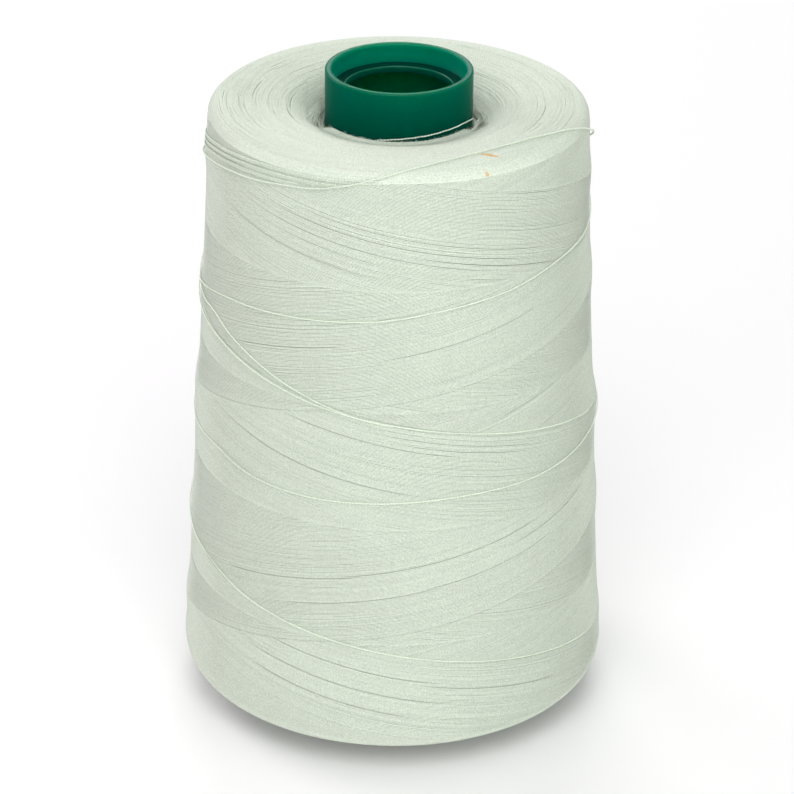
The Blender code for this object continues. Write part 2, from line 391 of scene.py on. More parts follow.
def tube_radius(height):
    """Outside radius of the tube: a straight nose, then a plain taper down to the foot."""
    below = max(TUBE_HEIGHT - COLLAR_LENGTH - height, 0.0)
    return COLLAR_RADIUS + below * math.tan(TUBE_HALF_ANGLE)


def smooth_between(knots, rows, wanted):
    """Values at the wanted places on the smooth curve through the rows at their knots."""
    slopes = np.gradient(rows, knots, axis=0)
    first = np.clip(np.searchsorted(knots, wanted, side="right") - 1, 0, len(knots) - 2)
    size = (knots[first + 1] - knots[first])[:, None]
    share = (wanted - knots[first])[:, None] / size
    start, end = rows[first], rows[first + 1]
    leave, arrive = slopes[first] * size, slopes[first + 1] * size
    return start + share * (leave + share * (
        3 * (end - start) - 2 * leave - arrive + share * (leave + arrive - 2 * (end - start))))


def outline_points():
    """Outline of the thread: from the tube over the crown and shoulder to the underside."""
    points = [(COLLAR_RADIUS + CLEARANCE, CROWN_HEIGHT - FACE_DROP_AT_TUBE)]
    points += [(radius, CROWN_HEIGHT - drop) for radius, drop in FACE]
    shoulder_height, shoulder_radius = SIDE[0]
    points += arc(shoulder_radius - SHOULDER_ROUND, shoulder_height, SHOULDER_ROUND, 90, 0, 4)
    base_height, base_radius = SIDE[-1]
    rows = round((shoulder_height - base_height) / SIDE_ROW_SPACING)
    for row in range(1, rows):
        height = shoulder_height + (base_height - shoulder_height) * row / rows
        points.append((table_value(SIDE, height), height))
    points += arc(base_radius - BASE_ROUND, base_height, BASE_ROUND, 0, -90, 4)
    underside = WINDING_FOOT + UNDERSIDE_DISH
    bore_foot = tube_radius(underside) + CLEARANCE
    points.append((bore_foot + 9.0 * MM, WINDING_FOOT + UNDERSIDE_DISH * 0.4))
    points.append((bore_foot, underside))
    return points


class Outline:
    """A smooth outline, read by run: radius, height and the way out of the thread."""

    def __init__(self, points, step):
        corners = np.array(points)
        lengths = np.hypot(*np.diff(corners, axis=0).T)
        knots = np.concatenate(([0.0], np.cumsum(lengths)))
        self.length = knots[-1]
        self.run = np.linspace(0.0, self.length, round(self.length / step) + 1)
        line = smooth_between(knots, corners, self.run)
        heading = np.gradient(line, self.run, axis=0)
        heading /= np.linalg.norm(heading, axis=1)[:, None]
        self.radius, self.height = line.T
        self.out, self.up = -heading[:, 1], heading[:, 0]
        side = (self.height <= SIDE[0][0]) & (self.height >= SIDE[-1][0])
        side &= self.radius > SIDE[0][1] - 1.0 * MM
        self.side_heights = self.height[side][::-1]
        self.side_runs = self.run[side][::-1]

    def run_at(self, height):
        """Run at a height on the side. Past the side's ends it goes on round the edges."""
        top, base = self.side_heights[-1], self.side_heights[0]
        run = np.interp(height, self.side_heights, self.side_runs)
        return run - np.maximum(height - top, 0.0) + np.maximum(base - height, 0.0)

    def run_at_radius(self, radius):
        """Run at a radius on the top face."""
        face = self.run < self.side_runs[-1]
        return np.interp(radius, self.radius[face], self.run[face])


OUTLINE = Outline(outline_points(), 0.25 * MM)
SHOULDER_RUN = float(OUTLINE.run_at(SIDE[0][0]))
BASE_RUN = float(OUTLINE.run_at(SIDE[-1][0]))


def band_raise(turn, height):
    """How far the crossing bands stand out on the side."""
    top, base = SIDE[0][0], SIDE[-1][0]
    fade = ease((top - height) / BAND_FADE) * ease((height - base) / BAND_FADE)
    nearest = np.full(np.shape(height), LEAD)
    for climb in (RISING, FALLING):
        middle = CROSSING_HEIGHT + climb * LEAD * (turn - CROSSING_TURN) / 360.0
        nearest = np.minimum(nearest, np.abs(wrapped(height - middle, LEAD)))
    return BAND_PROUD * ease(1.0 - nearest / (BAND_WIDTH / 2)) * fade


def heap_raise(turn, radius, height):
    """How far the slipped turns heap up on the top face beside the tube."""
    away = np.abs(wrapped(turn - FRONT_TURN, 360.0))
    round_it = ease((HEAP_END_TURN - away) / (HEAP_END_TURN - HEAP_FULL_TURN))
    outwards = ease((HEAP_REACH - radius) / (HEAP_REACH - COLLAR_RADIUS))
    return HEAP_RAISE * round_it * outwards * (height > CROWN_HEIGHT / 2)


def on_winding(turn, run, lift):
    """Points at a turn, run and lift on the winding, and the way out of the thread there."""
    turn, run, lift = np.broadcast_arrays(turn, run, lift)
    radius = np.interp(run, OUTLINE.run, OUTLINE.radius)
    height = np.interp(run, OUTLINE.run, OUTLINE.height)
    out = np.interp(run, OUTLINE.run, OUTLINE.out)
    up = np.interp(run, OUTLINE.run, OUTLINE.up)
    size = np.hypot(out, up)
    out, up = out / size, up / size
    lifted = radius + out * lift + band_raise(turn, height)
    raised = height + up * lift + heap_raise(turn, radius, height)
    angle = np.radians(turn)
    points = np.stack((lifted * np.cos(angle), lifted * np.sin(angle), raised), axis=-1)
    away = np.stack((out * np.cos(angle), out * np.sin(angle), up), axis=-1)
    return points, away


def in_metres(rows):
    """A table of turns and millimetres, with the millimetres turned into metres."""
    return np.array(rows) * (1.0, MM)


def smooth_rows(rows):
    """Points on the smooth curve through a table's rows, about a degree of turn apart."""
    table = np.array(rows)
    turns = table[:, 0]
    wanted = np.linspace(turns[0], turns[-1], max(int(turns[-1] - turns[0]), 2))
    return smooth_between(turns, table, wanted).T


# Strands


def round_section(radius, sides):
    angles = np.arange(sides) * 2 * math.pi / sides
    return np.stack((np.cos(angles), np.sin(angles)), axis=-1) * radius


def laid_section(width, proud):
    """Section of a turn that lies in the winding: a ridge with a flat hidden foot."""
    return np.array(((width / 2, -proud * 0.25), (0.0, proud * 0.75), (-width / 2, -proud * 0.25)))


def unit(vectors):
    return vectors / np.linalg.norm(vectors, axis=-1, keepdims=True)


def travelled(line):
    """Distance along a line at each of its points."""
    steps = np.linalg.norm(np.diff(line, axis=0), axis=1)
    return np.concatenate(([0.0], np.cumsum(steps)))


def respaced(line, away, step):
    """The same line with points a step apart."""
    distance = travelled(line)
    wanted = np.linspace(0.0, distance[-1], max(int(distance[-1] / step), 2) + 1)
    read = [np.interp(wanted, distance, column) for column in (*line.T, *away.T)]
    return np.stack(read[:3], axis=-1), unit(np.stack(read[3:], axis=-1))


class Strands:
    """Gathers closed strands, and makes one mesh of them."""

    def __init__(self):
        self.points, self.tones = [], []
        self.quads, self.quad_maps = [], []
        self.caps, self.cap_sizes = [], 0
        self.count = 0

    def add(self, section, line, away, tone, sizes=1.0, phase=0.0):
        """One closed strand along a line, with its section's second axis along away."""
        sides, rings = len(section), len(line)
        heading = unit(np.gradient(line, axis=0))
        across = unit(np.cross(away, heading))
        proud = np.cross(heading, across)
        sized = np.broadcast_to(sizes, (rings,))[:, None, None] * section[None]
        around = across[:, None] * sized[..., :1] + proud[:, None] * sized[..., 1:]
        self.points.append((line[:, None] + around).reshape(-1, 3))
        self.tones.append(np.full(rings * sides, tone))
        ring = np.arange(rings - 1)[:, None] * sides + self.count
        side = np.arange(sides)[None]
        after = (side + 1) % sides
        quads = np.stack((ring + side, ring + after, ring + sides + after, ring + sides + side), -1)
        self.quads.append(quads.reshape(-1, 4))
        distance = travelled(line)
        along = np.stack((distance[:-1], distance[:-1], distance[1:], distance[1:]), -1)
        around_it = np.stack((side, side + 1, side + 1, side), -1) / sides + phase
        maps = np.stack(np.broadcast_arrays(along[:, None], around_it), -1)
        self.quad_maps.append(maps.reshape(-1, 2))
        last = self.count + (rings - 1) * sides
        self.caps.append([self.count + sides - 1 - number for number in range(sides)])
        self.caps.append([last + number for number in range(sides)])
        self.cap_sizes += 2 * sides
        self.count += rings * sides

    def build(self, name, finish, node=None):
        """The strands as one piece that rides on the root, and replaces a node if one is given."""
        mesh = bpy.data.meshes.new(name)
        faces = np.concatenate(self.quads).tolist() + self.caps
        mesh.from_pydata(np.concatenate(self.points).tolist(), [], faces)
        layer = mesh.uv_layers.new(name="along_thread")
        maps = np.concatenate((*self.quad_maps, np.zeros((self.cap_sizes, 2))))
        layer.data.foreach_set("uv", maps.ravel())
        tone = mesh.attributes.new("tone", "FLOAT", "POINT")
        tone.data.foreach_set("value", np.concatenate(self.tones))
        mesh.shade_smooth()
        mesh.materials.append(finish)
        return placed(bpy.data.objects.new(name, mesh), node)


def placed(piece, node=None):
    """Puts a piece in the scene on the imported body."""
    bpy.context.scene.collection.objects.link(piece)
    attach(piece, "root")
    if node:
        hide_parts(node)
    return piece


def add_twisted(strands, line, away, ply_radius, lay_radius, turns_per_metre, tone, step, plies=2):
    """A thread of round plies laid round each other along a line."""
    line, away = respaced(line, away, step)
    heading = unit(np.gradient(line, axis=0))
    across = unit(np.cross(away, heading))
    proud = np.cross(heading, across)
    distance = travelled(line)
    ends = np.minimum(distance, distance[-1] - distance) / (2.0 * MM)
    sizes = 0.35 + 0.65 * ease(ends)
    for ply in range(plies):
        angle = 2 * math.pi * (distance * turns_per_metre + ply / plies)
        offset = across * np.cos(angle)[:, None] + proud * np.sin(angle)[:, None]
        section = round_section(ply_radius, 4)
        strands.add(section, line + offset * (lay_radius * sizes)[:, None], offset, tone, sizes)


def uneven(random, turn, amount):
    """A wander along a turn, different for each turn."""
    first, second, third = random.uniform(0.0, 2 * math.pi, 3)
    angle = np.radians(turn)
    slow = 0.5 * np.sin(1.7 * angle + first) + 0.3 * np.sin(5.3 * angle + second)
    return amount * (slow + 0.35 * np.sin(11.9 * angle + third))


def strand_tone(random):
    """Tone of a strand, a little off that of its neighbours."""
    return 1.0 + np.clip(random.normal(0.0, 0.02), -0.05, 0.05)


# Shader groups and materials


def new_group(name, inputs, outputs):
    """An empty shader node group with its sockets, and its two ends."""
    group = bpy.data.node_groups.new(name, "ShaderNodeTree")
    for label, kind, value in inputs:
        socket = group.interface.new_socket(label, in_out="INPUT", socket_type=kind)
        socket.default_value = value
    for label, kind in outputs:
        group.interface.new_socket(label, in_out="OUTPUT", socket_type=kind)
    return group, group.nodes.new("NodeGroupInput"), group.nodes.new("NodeGroupOutput")


def feed(tree, socket, value):
    """Gives a socket its value: a number, a vector, a colour or another socket."""
    if isinstance(value, bpy.types.NodeSocket):
        tree.links.new(value, socket)
    else:
        socket.default_value = (*value, 1.0) if socket.type == "RGBA" else value


def maths(tree, operation, *values, clamp=False):
    """A Math node. Each value is a number or a socket."""
    node = tree.nodes.new("ShaderNodeMath")
    node.operation = operation
    node.use_clamp = clamp
    for socket, value in zip(node.inputs, values):
        feed(tree, socket, value)
    return node.outputs[0]


def vector_maths(tree, operation, *values):
    """A Vector Math node. Each value is a vector or a socket."""
    node = tree.nodes.new("ShaderNodeVectorMath")
    node.operation = operation
    for socket, value in zip(node.inputs, values):
        feed(tree, socket, value)
    return node.outputs["Value" if operation == "LENGTH" else "Vector"]


def noise(tree, scale, detail, vector):
    node = tree.nodes.new("ShaderNodeTexNoise")
    for label, value in (("Scale", scale), ("Detail", detail), ("Vector", vector)):
        feed(tree, node.inputs[label], value)
    return node.outputs["Fac"]


def twist_group():
    """Relief of plies laid round a thread, from the map that runs along it."""
    group, given, result = new_group(
        "ply_twist",
        [("Twists", "NodeSocketFloat", 800.0), ("Plies", "NodeSocketFloat", 2.0)],
        [("Height", "NodeSocketFloat")])
    place = group.nodes.new("ShaderNodeUVMap")
    place.uv_map = "along_thread"
    apart = group.nodes.new("ShaderNodeSeparateXYZ")
    group.links.new(place.outputs["UV"], apart.inputs[0])
    turned = maths(group, "MULTIPLY_ADD", apart.outputs["X"], given.outputs["Twists"],
                   apart.outputs["Y"])
    phase = maths(group, "MULTIPLY", maths(group, "MULTIPLY", turned, given.outputs["Plies"]),
                  math.pi)
    height = maths(group, "ABSOLUTE", maths(group, "SINE", phase))
    group.links.new(height, result.inputs["Height"])
    return group


def fibre_group():
    """Fine hairiness and slow unevenness of spun thread."""
    group, given, result = new_group(
        "spun_fibre",
        [("Fine Scale", "NodeSocketFloat", 3000.0), ("Slow Scale", "NodeSocketFloat", 55.0),
         ("Fine Amount", "NodeSocketFloat", 0.2), ("Slow Amount", "NodeSocketFloat", 0.08)],
        [("Height", "NodeSocketFloat"), ("Tone", "NodeSocketFloat")])
    place = group.nodes.new("ShaderNodeTexCoord")
    fine = noise(group, given.outputs["Fine Scale"], 3.0, place.outputs["Object"])
    slow = noise(group, given.outputs["Slow Scale"], 2.0, place.outputs["Object"])
    tone = 1.0
    for layer, label in ((fine, "Fine Amount"), (slow, "Slow Amount")):
        off_middle = maths(group, "SUBTRACT", layer, 0.5)
        tone = maths(group, "MULTIPLY_ADD", off_middle, given.outputs[label], tone)
    group.links.new(fine, result.inputs["Height"])
    group.links.new(tone, result.inputs["Tone"])
    return group


def spot_group():
    """Mask of a soft-edged, uneven spot with its own length and width."""
    group, given, result = new_group(
        "stain_spot",
        [("Centre", "NodeSocketVector", (0.0, 0.0, 0.0)), ("Turn", "NodeSocketFloat", 0.0),
         ("Size", "NodeSocketVector", (1.0, 1.0, 1.0))],
        [("Mask", "NodeSocketFloat")])
    place = group.nodes.new("ShaderNodeTexCoord")
    off = vector_maths(group, "SUBTRACT", place.outputs["Object"], given.outputs["Centre"])
    turned = group.nodes.new("ShaderNodeVectorRotate")
    turned.rotation_type = "Z_AXIS"
    group.links.new(off, turned.inputs["Vector"])
    group.links.new(given.outputs["Turn"], turned.inputs["Angle"])
    scaled = vector_maths(group, "DIVIDE", turned.outputs[0], given.outputs["Size"])
    length = vector_maths(group, "LENGTH", scaled)
    ragged = maths(group, "MULTIPLY_ADD", noise(group, 1500.0, 2.0, place.outputs["Object"]), 1.4,
                   -0.7)
    mask = maths(group, "SUBTRACT", 1.0, maths(group, "ADD", length, ragged))
    group.links.new(maths(group, "MULTIPLY", mask, 2.2, clamp=True), result.inputs["Mask"])
    return group


def placed_group(tree, name, make, **values):
    """A shared group in a material, with its own values."""
    node = tree.nodes.new("ShaderNodeGroup")
    node.node_tree = bpy.data.node_groups.get(name) or make()
    for label, value in values.items():
        node.inputs[label.replace("_", " ").title()].default_value = value
    return node


def new_material(name):
    made = bpy.data.materials.new(name)
    made.use_nodes = True
    return made, made.node_tree, made.node_tree.nodes["Principled BSDF"]


def mixed(tree, share, first, second):
    """A colour Mix node. The share and colours are values or sockets."""
    node = tree.nodes.new("ShaderNodeMix")
    node.data_type = "RGBA"
    sockets = {socket.identifier: socket for socket in (*node.inputs, *node.outputs)}
    for label, value in (("Factor_Float", share), ("A_Color", first), ("B_Color", second)):
        feed(tree, sockets[label], value)
    return sockets["Result_Color"]


def scaled_colour(tree, colour, factor):
    node = tree.nodes.new("ShaderNodeVectorMath")
    node.operation = "SCALE"
    feed(tree, node.inputs[0], colour)
    feed(tree, node.inputs["Scale"], factor)
    return node.outputs[0]


def bumped(tree, shader, height, distance, strength=1.0):
    bump = tree.nodes.new("ShaderNodeBump")
    bump.inputs["Distance"].default_value = distance
    bump.inputs["Strength"].default_value = strength
    tree.links.new(height, bump.inputs["Height"])
    tree.links.new(bump.outputs["Normal"], shader.inputs["Normal"])


def stained(tree, colour, stain_colour):
    """The colour with the stained spots of the top face laid over it."""
    for turn, radius, half_length, half_width in STAINS:
        angle = math.radians(turn)
        height = float(np.interp(OUTLINE.run_at_radius(radius), OUTLINE.run, OUTLINE.height))
        spot = placed_group(
            tree, "stain_spot", spot_group,
            centre=(radius * math.cos(angle), radius * math.sin(angle), height),
            turn=-math.radians(turn + STAIN_LEAN),
            size=(half_length, half_width, STAIN_DEPTH))
        colour = mixed(tree, spot.outputs["Mask"], colour, stain_colour)
    return colour


def thread_material(name, brightness=1.0, plies_show=True, stains=False, roughness=0.42):
    """Spun thread: the tone of each turn, the ply twist and the fibres, with painted shade in the
    grooves between the plies.
    """
    finish = bpy.context.scene.cone_finish
    made, tree, shader = new_material(name)
    fibre = placed_group(tree, "spun_fibre", fibre_group, fine_amount=0.8)
    tone = tree.nodes.new("ShaderNodeAttribute")
    tone.attribute_name = "tone"
    factor = maths(tree, "MULTIPLY", fibre.outputs["Tone"], tone.outputs["Fac"])
    factor = maths(tree, "MULTIPLY", factor, brightness)
    colour = scaled_colour(tree, tuple(finish.thread_colour), factor)
    height = maths(tree, "MULTIPLY", fibre.outputs["Height"], 1.6)
    if plies_show:
        twist = placed_group(tree, "ply_twist", twist_group, twists=finish.twists)
        height = maths(tree, "ADD", height, twist.outputs["Height"])
        # Painted shade: the colour is darker in the grooves and lighter on the crowns of the plies
        dip = maths(tree, "MULTIPLY_ADD", twist.outputs["Height"], 0.14, 0.9)
        colour = scaled_colour(tree, colour, dip)
    if stains:
        colour = stained(tree, colour, tuple(finish.stain_colour))
    tree.links.new(colour, shader.inputs["Base Color"])
    tree.links.new(maths(tree, "MULTIPLY_ADD", fibre.outputs["Height"], 0.24, roughness - 0.12),
                   shader.inputs["Roughness"])
    bumped(tree, shader, height, 0.06 * MM)
    shader.inputs["Specular IOR Level"].default_value = 0.5
    return made


def painted_shade_body_material():
    """Thread seen deep between the turns, in a darker colour that is painted shade."""
    finish = bpy.context.scene.cone_finish
    made, tree, shader = new_material("thread_body_painted_shade")
    place = tree.nodes.new("ShaderNodeUVMap")
    place.uv_map = "along_thread"
    wave = tree.nodes.new("ShaderNodeTexWave")
    wave.bands_direction = "Y"
    wave.inputs["Scale"].default_value = 160.0
    wave.inputs["Distortion"].default_value = 1.5
    tree.links.new(place.outputs["UV"], wave.inputs["Vector"])
    fibre = placed_group(tree, "spun_fibre", fibre_group, fine_amount=0.5)
    colour = mixed(tree, wave.outputs["Fac"], tuple(finish.painted_shade_colour),
                   tuple(0.8 * part + 0.1 for part in finish.painted_shade_colour))
    tree.links.new(scaled_colour(tree, colour, fibre.outputs["Tone"]), shader.inputs["Base Color"])
    tree.links.new(maths(tree, "MULTIPLY_ADD", fibre.outputs["Height"], 0.2, 0.65),
                   shader.inputs["Roughness"])
    bumped(tree, shader, wave.outputs["Fac"], 0.12 * MM)
    return made


def plastic_material():
    """Moulded plastic that lets some light through, with faint flow marks and scuffs. Its colour
    also holds painted light and shade: lighter towards the rim, darker towards the winding, lighter
    on the bore wall above the ring and darker on the ring's top.
    """
    finish = bpy.context.scene.cone_finish
    made, tree, shader = new_material("green_plastic")
    place = tree.nodes.new("ShaderNodeTexCoord")
    apart = tree.nodes.new("ShaderNodeSeparateXYZ")
    tree.links.new(place.outputs["Object"], apart.inputs[0])
    height = apart.outputs["Z"]
    across = maths(tree, "POWER", apart.outputs["X"], 2.0)
    radius = maths(tree, "SQRT", maths(tree, "MULTIPLY_ADD", apart.outputs["Y"],
                                       apart.outputs["Y"], across))
    flow = noise(tree, 60.0, 3.0, place.outputs["Object"])
    scuff = noise(tree, 420.0, 4.0, place.outputs["Object"])
    wall = maths(tree, "COMPARE", radius, COLLAR_RADIUS - COLLAR_WALL, 0.35 * MM)
    # Painted light and shade: the nose's colour runs from darker at the winding to lighter at the
    # rim
    nose = tree.nodes.new("ShaderNodeMapRange")
    nose.inputs["From Min"].default_value = CROWN_HEIGHT - FACE_DROP_AT_TUBE
    nose.inputs["From Max"].default_value = TUBE_HEIGHT
    nose.inputs["To Min"].default_value = 0.62
    nose.inputs["To Max"].default_value = 1.08
    tree.links.new(height, nose.inputs["Value"])
    # Painted light and shade: the wall above the ring is painted lighter, as if lit through, and
    # the ring's top is painted darker, as if in shade
    seat_middle = (SEAT_RADIUS + COLLAR_RADIUS - COLLAR_WALL) / 2
    painted_shade_ring_top = maths(tree, "COMPARE", radius, seat_middle, seat_middle - SEAT_RADIUS - 0.3 * MM)
    painted_light_and_shade = maths(tree, "MULTIPLY_ADD", wall, 0.75, nose.outputs["Result"])
    painted_light_and_shade = maths(tree, "MULTIPLY_ADD", painted_shade_ring_top, -0.6, painted_light_and_shade)
    tone = maths(tree, "MULTIPLY", painted_light_and_shade, maths(tree, "MULTIPLY_ADD", flow, 0.14, 0.93))
    tree.links.new(scaled_colour(tree, tuple(finish.plastic_colour), tone),
                   shader.inputs["Base Color"])
    tree.links.new(maths(tree, "MULTIPLY_ADD", scuff, 0.10, 0.15), shader.inputs["Roughness"])
    bumped(tree, shader, flow, 0.02 * MM, 0.4)
    lip = maths(tree, "MULTIPLY",
                maths(tree, "COMPARE", height, TUBE_HEIGHT - SEAT_DEPTH, 1.1 * SEAT_ROUND),
                maths(tree, "COMPARE", radius, SEAT_RADIUS, 1.1 * SEAT_ROUND))
    rim = maths(tree, "COMPARE", height, TUBE_HEIGHT, 0.7 * RIM_ROUND)
    polish = maths(tree, "MULTIPLY_ADD", rim, 0.2, maths(tree, "MULTIPLY", lip, 0.5))
    tree.links.new(polish, shader.inputs["Coat Weight"])
    shader.inputs["Coat Roughness"].default_value = 0.15
    shader.inputs["Subsurface Weight"].default_value = 1.0
    shader.inputs["Subsurface Radius"].default_value = (0.02, 1.0, 0.55)
    shader.inputs["Subsurface Scale"].default_value = 5.0 * MM
    shader.inputs["Specular Tint"].default_value = (0.1, 0.9, 0.75, 1.0)
    shader.inputs["IOR"].default_value = 1.17
    shader.inputs["Specular IOR Level"].default_value = 0.06
    return made


def floor_material():
    studio = bpy.context.scene.cone_studio
    made, tree, shader = new_material("pale_floor")
    place = tree.nodes.new("ShaderNodeTexCoord")
    tone = maths(tree, "MULTIPLY_ADD", noise(tree, 3.0, 2.0, place.outputs["Object"]), 0.01, 0.995)
    tree.links.new(scaled_colour(tree, tuple(studio.floor_colour), tone),
                   shader.inputs["Base Color"])
    shader.inputs["Roughness"].default_value = 0.9
    shader.inputs["Specular IOR Level"].default_value = 0.1
    return made


# Tube


def tube_section():
    """Half section of the tube, down its outside, across the foot and back up the bore."""
    bore_radius = COLLAR_RADIUS - COLLAR_WALL
    collar_foot = TUBE_HEIGHT - COLLAR_LENGTH
    seat_top = TUBE_HEIGHT - SEAT_DEPTH
    seat_foot = seat_top - SEAT_THICKNESS
    foot_radius = tube_radius(0.0)
    seat_edge = SEAT_RADIUS + SEAT_ROUND
    points = arc(COLLAR_RADIUS - RIM_ROUND, TUBE_HEIGHT - RIM_ROUND, RIM_ROUND, 90, 0, 8)
    points += [(COLLAR_RADIUS, collar_foot), (tube_radius(collar_foot / 2), collar_foot / 2)]
    points += arc(foot_radius - FOOT_ROUND, FOOT_ROUND, FOOT_ROUND, 0, -90, 6)
    points += [
        (foot_radius - TUBE_WALL, 0.0),
        (COLLAR_RADIUS - TUBE_WALL, collar_foot),
        (COLLAR_RADIUS - TUBE_WALL, seat_foot),
    ]
    points += arc(seat_edge, seat_foot + SEAT_ROUND, SEAT_ROUND, 270, 180, 4)
    points += arc(seat_edge, seat_top - SEAT_ROUND, SEAT_ROUND, 180, 90, 4)
    points += [(bore_radius, seat_top)]
    points += arc(bore_radius + RIM_ROUND, TUBE_HEIGHT - RIM_ROUND, RIM_ROUND, 180, 90, 8)[:-1]
    return points


def turned_piece(name, section, steps, finish):
    """A closed half section, listed down its outer side first, turned once round Z."""
    mesh = bpy.data.meshes.new(name)
    count = len(section)
    edges = [(place, (place + 1) % count) for place in range(count)]
    mesh.from_pydata([(radius, 0.0, height) for radius, height in section], edges, [])
    mesh.materials.append(finish)
    piece = bpy.data.objects.new(name, mesh)
    screw = piece.modifiers.new("turned", "SCREW")
    screw.axis = "Z"
    screw.angle = math.radians(360.0)
    screw.steps = steps
    screw.render_steps = steps
    screw.use_smooth_shade = True
    screw.use_merge_vertices = True
    screw.merge_threshold = 0.00001
    return piece


# Wound thread


def depth_under(run):
    """How deep the body of thread lies under the turns: less on the top face than on the side."""
    return (0.10 + 0.09 * ease((run - SHOULDER_RUN + 6.0 * MM) / (4.0 * MM))) * MM


def build_depth(finish):
    """The closed body of thread under the turns that show."""
    steps, spacing = 192, 1.0 * MM
    turns = np.arange(steps) * 360.0 / steps
    runs = np.linspace(0.0, OUTLINE.length, round(OUTLINE.length / spacing) + 1)
    rows = [on_winding(turns, run, -depth_under(run))[0] for run in runs]
    for height in np.linspace(WINDING_FOOT + UNDERSIDE_DISH, CROWN_HEIGHT - FACE_DROP_AT_TUBE, 9):
        low_end, high_end = rows[len(runs) - 1], rows[0]
        wall = tube_radius(height) + CLEARANCE
        level = np.clip(height, low_end[:, 2], high_end[:, 2])
        angle = np.radians(turns)
        rows.append(np.stack((wall * np.cos(angle), wall * np.sin(angle), level), axis=-1))
    points = np.concatenate(rows)
    ring = np.arange(len(rows))[:, None] * steps
    after_ring = (np.arange(len(rows))[:, None] + 1) % len(rows) * steps
    side = np.arange(steps)[None]
    after = (side + 1) % steps
    faces = np.stack((ring + side, after_ring + side, after_ring + after, ring + after), -1)
    mesh = bpy.data.meshes.new("thread_body")
    mesh.from_pydata(points.tolist(), [], faces.reshape(-1, 4).tolist())
    layer = mesh.uv_layers.new(name="along_thread")
    around = np.stack((side, side, side + 1, side + 1), -1) / steps * 0.3
    down = np.arange(len(rows))[:, None, None] * spacing + np.array((0.0, spacing, spacing, 0.0))
    maps = np.stack(np.broadcast_arrays(around, down), -1)
    layer.data.foreach_set("uv", maps.ravel())
    mesh.shade_smooth()
    mesh.materials.append(finish)
    return placed(bpy.data.objects.new("thread_body", mesh), "winding")


def turned_back(climb):
    """Climb after the bends in which the thread turns back at the base and at the shoulder."""
    for end, inwards in ((LOWEST_CLIMB, 1.0), (HIGHEST_CLIMB, -1.0)):
        past = (climb - end) * inwards
        bend = RETURN_BEND / 2 + past * past / (2 * RETURN_BEND)
        climb = end + inwards * np.where(np.abs(past) < RETURN_BEND, bend, np.abs(past))
    return climb


def all_gaps(random):
    """The gaps from the table, with finer ones all round the cone."""
    rows = [
        (direction, turn, height * MM, length, width * MM)
        for direction, turn, height, length, width in GAPS
    ]
    for number in range(FINE_GAPS):
        direction = RISING if number % 2 else FALLING
        rows.append((
            direction, random.uniform(0.0, 360.0), random.uniform(12.0, 157.0) * MM,
            random.uniform(12.0, 56.0), random.uniform(0.02, 0.09) * MM))
    return np.array(rows)


def gap_push(gaps, turn, height, direction):
    """How far the gaps push a turn up or down."""
    middle, level, length, width = gaps[gaps[:, 0] == direction, 1:].T
    off = wrapped(turn[:, None] - middle, 360.0)
    inside = ease((1.0 - np.abs(off) / (length / 2)) * 3.0)
    above = height[:, None] - level - direction * LEAD * off / 360.0
    push = np.sign(above) * np.exp(-np.abs(above) / GAP_REACH) * width / 2 * inside
    return push.sum(axis=1)


def add_side_pass(strands, random, gaps, direction, order, seam):
    """The stretch of one pass that shows beside one seam.

    A pass lies over the crossing turns that were laid before it. That is from the last turn of
    the other direction, where it comes out from under the edge, to the seam, where it dips under
    the turns that cross it.
    """
    winding = bpy.context.scene.cone_winding
    round_once = 2 * math.pi * MIDDLE_RADIUS
    come_out = COME_OUT / round_once
    dip = DIP / round_once
    shown = order / 2
    last_bend = seam == (HIGHEST_CLIMB if direction == RISING else LOWEST_CLIMB)
    tail = END_DIP if last_bend else dip
    step = winding.turn_step / (2 * math.pi)
    if shown < come_out * 2:
        return
    places = np.concatenate((
        np.linspace(-come_out, come_out, 3), np.arange(step, shown - dip, step),
        np.linspace(max(shown - dip, come_out * 1.5), shown + tail, 5)))
    places = np.unique(places)
    climb = seam - direction * (shown - places)
    turn = CROSSING_TURN + 360.0 * (order + direction * climb)
    height = CROSSING_HEIGHT + LEAD * turned_back(climb)
    height += uneven(random, turn, winding.unevenness) + random.normal(0.0, PASS_STRAY)
    height += gap_push(gaps, turn, height, direction)
    dive = ease((places - shown + (0.0 if last_bend else dip)) / (tail + dip))
    rise = ease((places + come_out) / (2 * come_out))
    lift = -0.01 * MM - SINK * np.maximum(dive, 1.0 - rise) + random.normal(0.0, LIFT_STRAY)
    line, away = on_winding(turn, OUTLINE.run_at(height), lift)
    section = laid_section(winding.thread_width, winding.thread_proud)
    strands.add(section, line, away, strand_tone(random), phase=random.uniform(0.0, 1.0))


def build_side_turns(direction, name, finish):
    """Every stretch of the passes in one direction that shows on the side."""
    winding = bpy.context.scene.cone_winding
    random = np.random.default_rng(winding.seed + 1)
    gaps = all_gaps(random)
    random = np.random.default_rng(winding.seed + 5 + direction)
    strands = Strands()
    lowest, highest = 2 * LOWEST_CLIMB, 2 * HIGHEST_CLIMB
    seams = np.arange(lowest + (direction == RISING), highest + (direction == RISING)) / 2
    for number in range(winding.passes):
        order = (number + 0.5) / winding.passes
        for seam in seams:
            add_side_pass(strands, random, gaps, direction, order, seam)
    return strands.build(name, finish)


